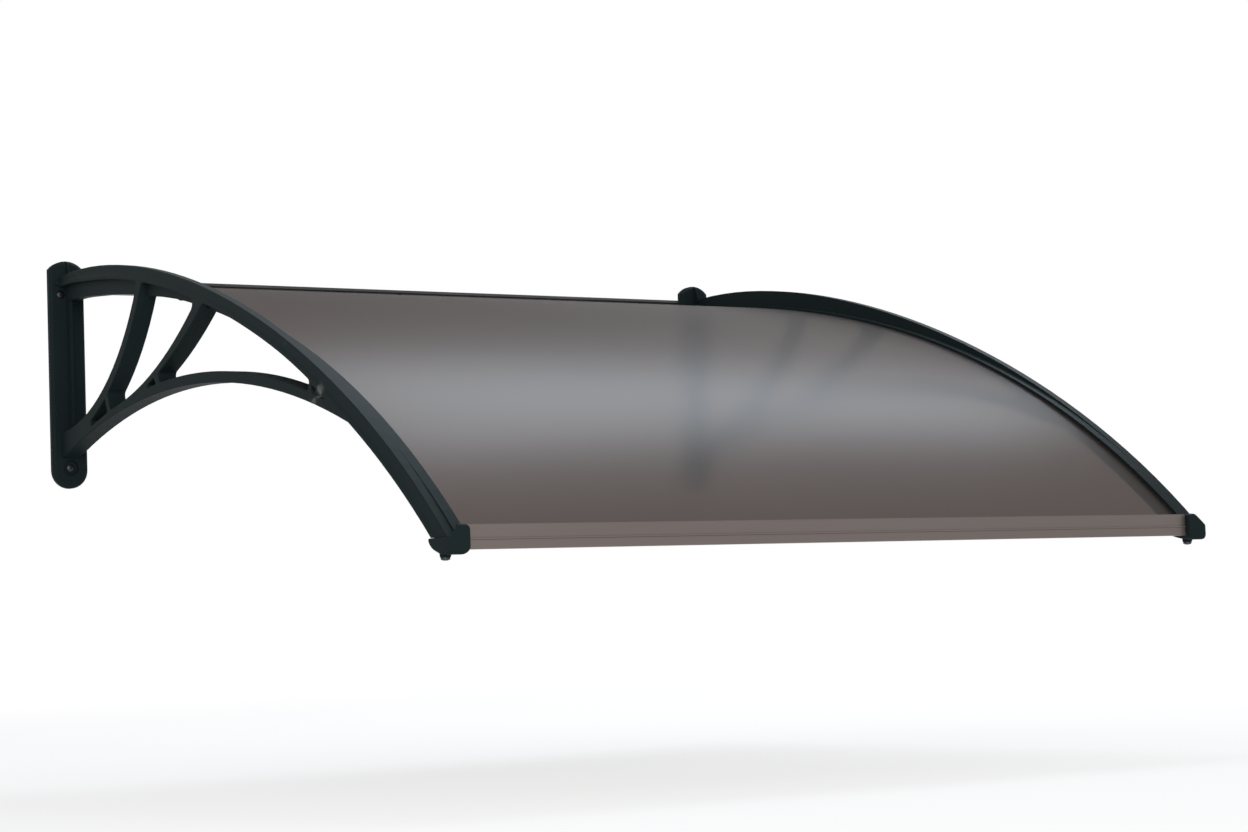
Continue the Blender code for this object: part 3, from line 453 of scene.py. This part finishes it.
class Sweeper:
    """Builds a Geometry Nodes tree and applies it to a carrier mesh."""

    def __init__(self, name: str) -> None:
        """Start an empty tree with a geometry input and output.

        Args:
            name: the tree's name.
        """
        self.tree = bpy.data.node_groups.new(name, "GeometryNodeTree")
        self.tree.interface.new_socket("Geometry", in_out="INPUT", socket_type="NodeSocketGeometry")
        self.tree.interface.new_socket("Geometry", in_out="OUTPUT", socket_type="NodeSocketGeometry")
        self.values: dict[str, object] = {}
        self.source = self.tree.nodes.new("NodeGroupInput")
        self.target = self.tree.nodes.new("NodeGroupOutput")

    def size(self, name: str, value: object, kind: str = "NodeSocketFloat") -> bpy.types.NodeSocket:
        """Add a named input.

        Args:
            name: the input's name.
            value: what the modifier sets it to.
            kind: the socket's type.

        Returns:
            The socket inside the tree that carries the value.
        """
        item = self.tree.interface.new_socket(name, in_out="INPUT", socket_type=kind)
        self.values[item.identifier] = value
        return self.source.outputs[name]

    def node(self, kind: str, settings: Mapping[str, object] | None = None,
             feeds: Mapping[str | int, object] | None = None) -> bpy.types.Node:
        """Add one node.

        Args:
            kind: the node's type.
            settings: its properties.
            feeds: a value, a link or a list of links for each named or numbered input.

        Returns:
            The new node.
        """
        made = self.tree.nodes.new(kind)
        for key, value in (settings or {}).items():
            setattr(made, key, value)
        for key, value in (feeds or {}).items():
            for part in value if isinstance(value, list) else [value]:
                if isinstance(part, bpy.types.NodeSocket):
                    self.tree.links.new(part, made.inputs[key])
                else:
                    made.inputs[key].default_value = part
        return made

    def maths(self, operation: str, first: object, second: object) -> bpy.types.NodeSocket:
        """The result of one Math node, with an upper and a lower operand."""
        return self.node("ShaderNodeMath", {"operation": operation}, {0: first, 1: second}).outputs[0]

    def along_z(self, height: object) -> bpy.types.NodeSocket:
        """A vector of that height along Z."""
        return self.node("ShaderNodeCombineXYZ", None, {"Z": height}).outputs[0]

    def closed(self, geometry: bpy.types.NodeSocket, sharp: float) -> None:
        """End the tree: shade, realize and give the material.

        Args:
            geometry: the geometry to hand over.
            sharp: edges that turn more than this angle stay sharp, in radians.
        """
        paint = self.size("Material", None, "NodeSocketMaterial")
        realized = self.node("GeometryNodeRealizeInstances", None, {0: geometry}).outputs[0]
        smooth = self.node("GeometryNodeSetShadeSmooth", {"domain": "FACE"}, {0: realized}).outputs[0]
        angle = self.node("GeometryNodeInputMeshEdgeAngle").outputs["Unsigned Angle"]
        edge = self.node("FunctionNodeCompare", {"operation": "GREATER_THAN"}, {0: angle, 1: sharp})
        creased = self.node("GeometryNodeSetShadeSmooth", {"domain": "EDGE"}, {
            0: smooth, "Selection": edge.outputs[0], "Shade Smooth": False}).outputs[0]
        painted = self.node("GeometryNodeSetMaterial", None, {0: creased, "Material": paint}).outputs[0]
        self.tree.links.new(painted, self.target.inputs[0])

    def applied(self, name: str, carrier: bpy.types.Mesh, material: bpy.types.Material) -> bpy.types.Object:
        """Run the tree once and keep its plain mesh.

        Args:
            name: the piece's name.
            carrier: the mesh that the tree starts from.
            material: the piece's material.

        Returns:
            The finished piece, at the origin and without modifiers.
        """
        piece = bpy.data.objects.new(name, carrier)
        bpy.context.scene.collection.objects.link(piece)
        change = piece.modifiers.new("shape", "NODES")
        change.node_group = self.tree
        for identifier, value in self.values.items():
            change[identifier] = material if value is None else value
        return made_plain(piece)


def made_plain(piece: bpy.types.Object) -> bpy.types.Object:
    """Replace a piece's mesh and modifiers by the mesh that they make.

    Args:
        piece: the piece with its modifiers.

    Returns:
        The same piece, with a plain mesh of its own name.
    """
    bpy.context.view_layer.update()
    graph = bpy.context.evaluated_depsgraph_get()
    mesh = bpy.data.meshes.new_from_object(piece.evaluated_get(graph))
    piece.modifiers.clear()
    piece.data = mesh
    mesh.name = piece.name
    return piece


def corners_of(node: str) -> np.ndarray:
    """The vertices of a frame node.

    Args:
        node: the node's name.

    Returns:
        An array with one row of X, Y and Z for each vertex.
    """
    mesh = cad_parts[node].data
    flat = np.empty(len(mesh.vertices) * 3)
    mesh.vertices.foreach_get("co", flat)
    return flat.reshape(-1, 3)


def dressed(node: str, material: bpy.types.Material) -> bpy.types.Object:
    """Give a frame node its finish.

    Args:
        node: the node's name.
        material: the finish.

    Returns:
        The node's object.
    """
    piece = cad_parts[node]
    for slot in piece.material_slots:
        slot.material = material
    return piece


def riding(piece: bpy.types.Object, stands_for: Sequence[str]) -> bpy.types.Object:
    """Tie a new piece to the frame.

    Args:
        piece: the piece.
        stands_for: the frame nodes that it replaces.

    Returns:
        The same piece.
    """
    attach(piece, "root")
    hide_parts(*stands_for)
    return piece


@dataclass
class Brackets:
    """Both moulded lattice brackets with the strips that hold the sheet down and the nose caps."""

    finish: SatinMoulding = field(default_factory=SatinMoulding)
    parts: tuple[str, ...] = ("bracket", "clamp_strip")

    def build(self) -> list[bpy.types.Object]:
        """Dress the moulded parts of both sides and round the caps.

        Returns:
            The dressed frame nodes and the caps.
        """
        material = self.finish.material()
        pieces = [dressed(f"{part}_{side.value}", material) for side in Side for part in self.parts]
        return pieces + NoseCaps(material).build()


@dataclass
class NoseCaps:
    """The moulded caps under the arms' noses, with the soft, well rounded corners of a thick moulding."""

    material: bpy.types.Material
    slot: Slot = Slot.MOULDING
    grid: float = 0.0008
    passes: int = 18
    weld: float = 0.00001
    nose_gap: float = 0.0008
    boss_radius: float = 0.0056
    boss_height: float = 0.0080
    boss_ease: float = 0.0006
    boss_steps: int = 48

    def add_boss(self, shape: bmesh.types.BMesh, side: Side) -> None:
        """Add the round boss that the nose screw's head lies against.

        Args:
            shape: the cap.
            side: the bracket that the cap belongs to.
        """
        screw = np.array(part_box(f"nose_screw_{side.value}")).mean(axis=0)
        foot = float(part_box(f"nose_cap_{side.value}")[0][2]) - self.boss_ease
        middle = (screw[0], screw[1], foot + self.boss_height / 2)
        bmesh.ops.create_cone(shape, cap_ends=True, segments=self.boss_steps, radius1=self.boss_radius,
                              radius2=self.boss_radius, depth=self.boss_height,
                              matrix=Matrix.Translation(middle))

    def add_cheek(self, shape: bmesh.types.BMesh, side: Side) -> None:
        """Fill the cap's front, ahead of the bracket's nose, to a convex cheek.

        Args:
            shape: the cap.
            side: the bracket that the cap belongs to.
        """
        front = float(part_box(f"bracket_{side.value}")[0][1]) - self.nose_gap
        cheek = bmesh.new()
        for corner in [vertex.co for vertex in shape.verts if vertex.co.y < front]:
            cheek.verts.new(corner)
        bmesh.ops.convex_hull(cheek, input=cheek.verts)
        mesh = bpy.data.meshes.new(f"nose_cap_cheek_{side.value}")
        cheek.to_mesh(mesh)
        cheek.free()
        shape.from_mesh(mesh)

    def rounded(self, side: Side) -> bpy.types.Object:
        """Round one cap.

        Args:
            side: the bracket that the cap belongs to.

        Returns:
            The cap, riding on the frame.
        """
        node = f"nose_cap_{side.value}"
        shape = bmesh.new()
        shape.from_mesh(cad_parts[node].data)
        bmesh.ops.remove_doubles(shape, verts=shape.verts, dist=self.weld)
        self.add_boss(shape, side)
        self.add_cheek(shape, side)
        mesh = bpy.data.meshes.new(f"nose_cap_rounded_{side.value}")
        shape.to_mesh(mesh)
        shape.free()
        piece = bpy.data.objects.new(mesh.name, mesh)
        bpy.context.scene.collection.objects.link(piece)
        skin = piece.modifiers.new("skin", "REMESH")
        skin.mode = "VOXEL"
        skin.voxel_size = self.grid
        skin.use_smooth_shade = True
        soften = piece.modifiers.new("soften", "SMOOTH")
        soften.iterations = self.passes
        made_plain(piece).data.materials.clear()
        piece.data.materials.append(self.material)
        return riding(piece, [node])

    def build(self) -> list[bpy.types.Object]:
        """Round both caps."""
        return [self.rounded(side) for side in Side]


@dataclass
class SheetPanel:
    """The curved sheet, swept as one smooth slab along the line that the frame's sheet follows."""

    finish: BronzeSheet = field(default_factory=BronzeSheet)
    node: str = "sheet"
    thickness: float = 0.003
    edge_radius: float = 0.0006
    edge_steps: int = 3
    rows: int = 150
    sharp: float = math.radians(20)
    tolerance: float = 0.0001

    def line(self) -> tuple[np.ndarray, float]:
        """Read the sheet's middle line from its left end face.

        Returns:
            The points of the line from the rear edge to the nose, and the sheet's width.
        """
        points = corners_of(self.node)
        left = points[:, 0].min()
        width = points[:, 0].max() - left
        face = np.unique(np.round(points[points[:, 0] < left + self.tolerance], 6), axis=0)
        gaps = np.linalg.norm(face[:, None] - face[None], axis=2)
        pairs = np.argwhere(np.abs(gaps - self.thickness) < self.tolerance)
        middles = np.array([(face[a] + face[b]) / 2 for a, b in pairs if a < b])
        middles[:, 0] = 0.0
        return middles[np.argsort(-middles[:, 1])], float(width)

    def build(self) -> list[bpy.types.Object]:
        """Sweep the sheet's section along its line.

        Returns:
            The sheet.
        """
        points, width = self.line()
        carrier = bpy.data.meshes.new("sheet_line")
        carrier.from_pydata(points.tolist(), [(k, k + 1) for k in range(len(points) - 1)], [])
        make = Sweeper("sheet_sweep")
        across = make.size("Width", width)
        thick = make.size("Thickness", self.thickness)
        radius = make.size("Edge Radius", self.edge_radius)
        steps = make.size("Edge Steps", self.edge_steps, "NodeSocketInt")
        rows = make.size("Rows", self.rows, "NodeSocketInt")
        line = make.node("GeometryNodeMeshToCurve", None, {0: make.source.outputs["Geometry"]})
        soft = make.node("GeometryNodeCurveSplineType", {"spline_type": "CATMULL_ROM"}, {0: line.outputs[0]})
        even = make.node("GeometryNodeResampleCurve", None, {0: soft.outputs[0], "Count": rows})
        upright = make.node("GeometryNodeSetCurveNormal", {"mode": "Z_UP"}, {0: even.outputs[0]})
        section = make.node("GeometryNodeCurvePrimitiveQuadrilateral", None, {
            "Width": across, "Height": thick})
        eased = make.node("GeometryNodeFilletCurve", {"mode": "POLY"}, {
            0: section.outputs[0], "Count": steps, "Radius": radius})
        slab = make.node("GeometryNodeCurveToMesh", None, {
            0: upright.outputs[0], "Profile Curve": eased.outputs[0], "Fill Caps": True})
        make.closed(slab.outputs[0], self.sharp)
        piece = make.applied("sheet_panel", carrier, self.finish.material())
        return [riding(piece, [self.node])]


@dataclass
class WallRail:
    """The rail that takes the sheet's rear edge, with the rubber seal along its top."""

    finish: BronzeProfile = field(default_factory=BronzeProfile)
    seal_finish: BlackRubber = field(default_factory=BlackRubber)

    def build(self) -> list[bpy.types.Object]:
        """Dress the rail, the front profile that is cut from the same stock, and the seals.

        Returns:
            The dressed frame nodes.
        """
        metal = self.finish.material()
        rubber = self.seal_finish.material()
        seals = ["rail_seal"] + [f"gasket_{side.value}" for side in Side]
        return ([dressed(node, metal) for node in ("wall_rail", "front_profile")]
                + [dressed(node, rubber) for node in seals])


@dataclass(frozen=True)
class Seat:
    """Where one screw sits: the place under its head, the way out, the head's radius, the shank's length."""

    place: np.ndarray
    way: np.ndarray
    head: float
    length: float


@dataclass
class Screws:
    """Every screw of the canopy: one slotted pan head and one shank, set at each screw of the frame."""

    finish: BlackenedSteel = field(default_factory=BlackenedSteel)
    clamp_screws: int = 4
    rail_screws: int = 3
    head_height: float = 0.634
    rim_height: float = 0.36
    slot_width: float = 0.21
    slot_depth: float = 0.26
    blade_length: float = 3.0
    shank_radius: float = 0.47
    round_steps: int = 40
    dome_rings: int = 64
    shank_steps: int = 24
    sharp: float = math.radians(32)
    rim_share: float = 0.97
    probe_share: float = 0.8
    probe: float = 0.0004
    reach: float = 0.006

    def nodes(self) -> list[str]:
        """Name all the frame's screws.

        Returns:
            The nodes' names.
        """
        names = [f"rail_screw_{k + 1}" for k in range(self.rail_screws)]
        for side in Side:
            names += [f"nose_screw_{side.value}"]
            names += [f"wall_screw_{side.value}_{end}" for end in ("low", "high")]
            names += [f"clamp_screw_{side.value}_{k + 1}" for k in range(self.clamp_screws)]
        return names

    def seat(self, node: str) -> Seat:
        """Read where a screw sits from its own mesh: its axis is the one along which its ends differ most.

        Args:
            node: the screw's name.

        Returns:
            The screw's seat.
        """
        points = np.unique(np.round(corners_of(node), 7), axis=0)
        middle = (points.max(axis=0) + points.min(axis=0)) / 2
        most = -1.0
        for axis in np.linalg.svd(points - points.mean(axis=0), full_matrices=False)[2]:
            along = (points - middle) @ axis
            ring = points - middle - along[:, None] * axis
            out = np.linalg.norm(ring - (ring.max(axis=0) + ring.min(axis=0)) / 2, axis=1)
            uneven = out[along > 0].max() - out[along < 0].max()
            if abs(uneven) > most:
                most = abs(uneven)
                turn = 1.0 if uneven >= 0 else -1.0
                way, height, radius = axis * turn, along * turn, out
        head = float(radius.max())
        foot = height[radius > head * self.rim_share].min()
        foot -= self.lift(node, middle + way * foot, way, head)
        return Seat(middle + way * foot, way, head, float(foot - height.min()))

    def lift(self, node: str, place: np.ndarray, way: np.ndarray, radius: float) -> float:
        """How far a clamp screw's head is from the ledge that it pulls against.

        Args:
            node: the screw's name.
            place: the seat of its head.
            way: the way out of the head.
            radius: the head's radius.

        Returns:
            The distance, or 0 for the screws that lie in their own recess.
        """
        if not node.startswith("clamp_screw"):
            return 0.0
        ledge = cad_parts[f"bracket_{node.split('_')[2]}"].data
        tree = BVHTree.FromPolygons([vertex.co for vertex in ledge.vertices],
                                    [tuple(face.vertices) for face in ledge.polygons])
        start = Vector(place) + Vector((radius * self.probe_share, 0.0, 0.0)) + Vector(way) * self.probe
        distance = tree.ray_cast(start, -Vector(way), self.reach)[3]
        return max(0.0, distance - self.probe) if distance else 0.0

    def carrier(self) -> bpy.types.Mesh:
        """One vertex for each screw, with its way, head radius and length as attributes.

        Returns:
            The carrier mesh.
        """
        seats = [self.seat(node) for node in self.nodes()]
        mesh = bpy.data.meshes.new("screw_seats")
        mesh.from_pydata([seat.place.tolist() for seat in seats], [], [])
        ways = mesh.attributes.new("way", "FLOAT_VECTOR", "POINT")
        ways.data.foreach_set("vector", np.concatenate([seat.way for seat in seats]))
        heads = mesh.attributes.new("head", "FLOAT", "POINT")
        heads.data.foreach_set("value", [seat.head for seat in seats])
        lengths = mesh.attributes.new("length", "FLOAT", "POINT")
        lengths.data.foreach_set("value", [seat.length for seat in seats])
        return mesh

    def head(self, make: Sweeper) -> bpy.types.NodeSocket:
        """A domed pan head of radius 1 with a driver slot, its seat at height 0.

        Args:
            make: the tree that is being built.

        Returns:
            The head's geometry.
        """
        height = make.size("Head Height", self.head_height)
        steps = make.size("Round Steps", self.round_steps, "NodeSocketInt")
        dome_height = self.head_height - self.rim_height
        dome_radius = (1 + dome_height ** 2) / (2 * dome_height)
        drum = make.node("GeometryNodeMeshCylinder", None, {
            "Vertices": steps, "Side Segments": 1, "Fill Segments": 1, "Radius": 1.0, "Depth": height})
        raised = make.node("GeometryNodeTransform", None, {
            0: drum.outputs["Mesh"], "Translation": make.along_z(make.maths("MULTIPLY", height, 0.5))})
        ball = make.node("GeometryNodeMeshUVSphere", None, {
            "Segments": steps, "Rings": self.dome_rings, "Radius": make.size("Dome Radius", dome_radius)})
        centre = make.maths("SUBTRACT", height, dome_radius)
        sunk = make.node("GeometryNodeTransform", None, {
            0: ball.outputs["Mesh"], "Translation": make.along_z(centre)})
        domed = make.node("GeometryNodeMeshBoolean", {"operation": "INTERSECT", "solver": "EXACT"}, {
            1: [raised.outputs[0], sunk.outputs[0]]})
        depth = make.size("Slot Depth", self.slot_depth)
        size = make.node("ShaderNodeCombineXYZ", None, {
            "X": self.blade_length, "Y": make.size("Slot Width", self.slot_width),
            "Z": make.maths("MULTIPLY", depth, 2.0)})
        blade = make.node("GeometryNodeMeshCube", None, {"Size": size.outputs[0]})
        lifted = make.node("GeometryNodeTransform", None, {
            0: blade.outputs["Mesh"], "Translation": make.along_z(height)})
        slotted = make.node("GeometryNodeMeshBoolean", {"operation": "DIFFERENCE", "solver": "EXACT"}, {
            0: domed.outputs[0], 1: lifted.outputs[0]})
        return slotted.outputs[0]

    def build(self) -> list[bpy.types.Object]:
        """Set a head and a shank at every seat.

        Returns:
            One piece with all the screws.
        """
        make = Sweeper("screw_set")
        seats = make.source.outputs["Geometry"]
        way = make.node("GeometryNodeInputNamedAttribute", {"data_type": "FLOAT_VECTOR"}, {"Name": "way"})
        radius = make.node("GeometryNodeInputNamedAttribute", {"data_type": "FLOAT"}, {"Name": "head"})
        length = make.node("GeometryNodeInputNamedAttribute", {"data_type": "FLOAT"}, {"Name": "length"})
        turn = make.node("FunctionNodeAlignRotationToVector", {"axis": "Z"}, {"Vector": way.outputs[0]})
        head_size = make.node("ShaderNodeCombineXYZ", None, {axis: radius.outputs[0] for axis in "XYZ"})
        heads = make.node("GeometryNodeInstanceOnPoints", None, {
            "Points": seats, "Instance": self.head(make), "Rotation": turn.outputs[0],
            "Scale": head_size.outputs[0]})
        thickness = make.size("Shank Radius", self.shank_radius)
        rod = make.node("GeometryNodeMeshCylinder", None, {
            "Vertices": self.shank_steps, "Radius": thickness, "Depth": 1.0})
        hung = make.node("GeometryNodeTransform", None, {
            0: rod.outputs["Mesh"], "Translation": (0.0, 0.0, -0.5)})
        rod_size = make.node("ShaderNodeCombineXYZ", None, {
            "X": radius.outputs[0], "Y": radius.outputs[0], "Z": length.outputs[0]})
        shanks = make.node("GeometryNodeInstanceOnPoints", None, {
            "Points": seats, "Instance": hung.outputs[0], "Rotation": turn.outputs[0],
            "Scale": rod_size.outputs[0]})
        both = make.node("GeometryNodeJoinGeometry", None, {0: [heads.outputs[0], shanks.outputs[0]]})
        make.closed(both.outputs[0], self.sharp)
        piece = make.applied("screw_set", self.carrier(), self.finish.material())
        return [riding(piece, self.nodes())]


@dataclass(frozen=True)
class Lamp:
    """One soft rectangular lamp."""

    name: str
    place: tuple[float, float, float]
    aim: tuple[float, float, float]
    size: tuple[float, float]
    watts: float
    colour: Colour = (1.0, 1.0, 1.0)
    lengthwise: tuple[float, float, float] = (1.0, 0.0, 0.0)

    def build(self) -> bpy.types.Object:
        """Hang the lamp.

        Returns:
            The lamp, unseen by the camera.
        """
        light = bpy.data.lights.new(self.name, "AREA")
        light.shape = "RECTANGLE"
        light.size, light.size_y = self.size
        light.energy = self.watts
        light.color = self.colour
        lamp = bpy.data.objects.new(self.name, light)
        along = Vector(self.lengthwise).normalized()
        upward = (Vector(self.place) - Vector(self.aim)).cross(along).normalized()
        turn = Matrix((along, upward, along.cross(upward))).transposed()
        lamp.matrix_world = Matrix.Translation(self.place) @ turn.to_4x4()
        lamp.visible_camera = False
        bpy.context.scene.collection.objects.link(lamp)
        return lamp


@dataclass
class Studio:
    """Pale floor, white surroundings, soft lamps, and the camera at the photograph's angle.

    The floor turns plain white between the two distances of floor_fade, and floor_white is how far its lit
    part is lifted to white where it is seen.
    """

    eye: tuple[float, float, float] = (-1.7667, -3.3343, -0.4533)
    yaw: float = 0.5667
    pitch: float = 0.0752
    roll: float = -0.0375
    lens: float = 80.384
    sensor: float = 36.0
    floor_height: float = -0.62
    floor_size: float = 60.0
    floor_fade: tuple[float, float] = (1.2, 4.5)
    floor_colour: Colour = (0.86, 0.86, 0.86)
    floor_white: float = 0.72
    ambient: float = 0.52
    lamps: tuple[Lamp, ...] = (
        Lamp("key_left", place=(-1.8, -3.9, 0.55), aim=(0.0, -0.5, -0.15), size=(1.8, 1.8), watts=78.0),
        Lamp("sheen_high", place=(3.69, 2.09, 3.49), aim=(0.0, -0.75, -0.2), size=(7.2, 1.3), watts=238.0,
             colour=(0.80, 0.90, 1.0), lengthwise=(3.67, 1.64, 0.905)),
    )

    def camera(self) -> bpy.types.Object:
        """Set up the camera.

        Returns:
            The scene's camera.
        """
        ahead = Vector((math.sin(self.yaw) * math.cos(self.pitch),
                        math.cos(self.yaw) * math.cos(self.pitch), math.sin(self.pitch)))
        level = Vector((math.cos(self.yaw), -math.sin(self.yaw), 0.0))
        upward = level.cross(ahead)
        right = math.cos(self.roll) * level + math.sin(self.roll) * upward
        top = -math.sin(self.roll) * level + math.cos(self.roll) * upward
        data = bpy.data.cameras.new("camera")
        data.lens = self.lens
        data.sensor_width = self.sensor
        camera = bpy.data.objects.new("camera", data)
        turn = Matrix((right, top, -ahead)).transposed()
        camera.matrix_world = Matrix.Translation(self.eye) @ turn.to_4x4()
        bpy.context.scene.collection.objects.link(camera)
        bpy.context.scene.camera = camera
        return camera

    def floor(self) -> bpy.types.Object:
        """Lay the floor: pale and lit under the canopy, plain white further out.

        Returns:
            The floor.
        """
        half = self.floor_size / 2
        mesh = bpy.data.meshes.new("floor")
        corners = [(-half, -half, self.floor_height), (half, -half, self.floor_height),
                   (half, half, self.floor_height), (-half, half, self.floor_height)]
        mesh.from_pydata(corners, [], [(0, 1, 2, 3)])
        graph = Graph("floor_pale")
        away = graph.node("ShaderNodeVectorMath", {"operation": "LENGTH"}, {0: graph.place()})
        path = graph.node("ShaderNodeLightPath")
        seen = Term(graph, path.outputs["Is Camera Ray"]) + Term(graph, path.outputs["Is Glossy Ray"])
        seen = (seen + Term(graph, path.outputs["Is Transmission Ray"])).at_most(1.0)
        far = graph.window(Term(graph, away.outputs["Value"]), *self.floor_fade)
        share = 1 - (1 - far) * (1 - seen * self.floor_white)
        paper = graph.node("ShaderNodeBsdfDiffuse", None, {"Color": (*self.floor_colour, 1.0)})
        white = graph.node("ShaderNodeEmission", None, {"Color": (1.0, 1.0, 1.0, 1.0), "Strength": 1.0})
        mixed = graph.node("ShaderNodeMixShader", None, {0: share, 1: paper.outputs[0], 2: white.outputs[0]})
        graph.node("ShaderNodeOutputMaterial", None, {"Surface": mixed.outputs[0]})
        mesh.materials.append(graph.material)
        floor = bpy.data.objects.new("floor", mesh)
        bpy.context.scene.collection.objects.link(floor)
        return floor

    def surroundings(self) -> None:
        """White where it is seen, in glass and in gloss too, and a plain soft light elsewhere."""
        world = bpy.data.worlds.new("surroundings")
        world.use_nodes = True
        tree = world.node_tree
        back = tree.nodes["Background"]
        back.inputs["Color"].default_value = (1.0, 1.0, 1.0, 1.0)
        path = tree.nodes.new("ShaderNodeLightPath")
        seen = path.outputs["Is Camera Ray"]
        for kind in ("Is Glossy Ray", "Is Transmission Ray"):
            either = tree.nodes.new("ShaderNodeMath")
            either.operation = "MAXIMUM"
            tree.links.new(seen, either.inputs[0])
            tree.links.new(path.outputs[kind], either.inputs[1])
            seen = either.outputs[0]
        level = tree.nodes.new("ShaderNodeMapRange")
        level.inputs["To Min"].default_value = self.ambient
        level.inputs["To Max"].default_value = 1.0
        tree.links.new(seen, level.inputs["Value"])
        tree.links.new(level.outputs[0], back.inputs["Strength"])
        bpy.context.scene.world = world

    def build(self) -> None:
        """Set the whole stage."""
        self.surroundings()
        self.floor()
        for lamp in self.lamps:
            lamp.build()
        self.camera()
        bpy.context.scene.view_settings.view_transform = "Standard"


def main() -> None:
    """Dress the canopy and set the stage."""
    logging.basicConfig(level=logging.INFO, format="%(name)s: %(message)s")
    for assembly in (Brackets(), SheetPanel(), WallRail(), Screws()):
        for piece in assembly.build():
            log.info("%s: %s, %d faces", type(assembly).__name__, piece.name, len(piece.data.polygons))
    Studio().build()


if __name__ == "__main__":
    main()
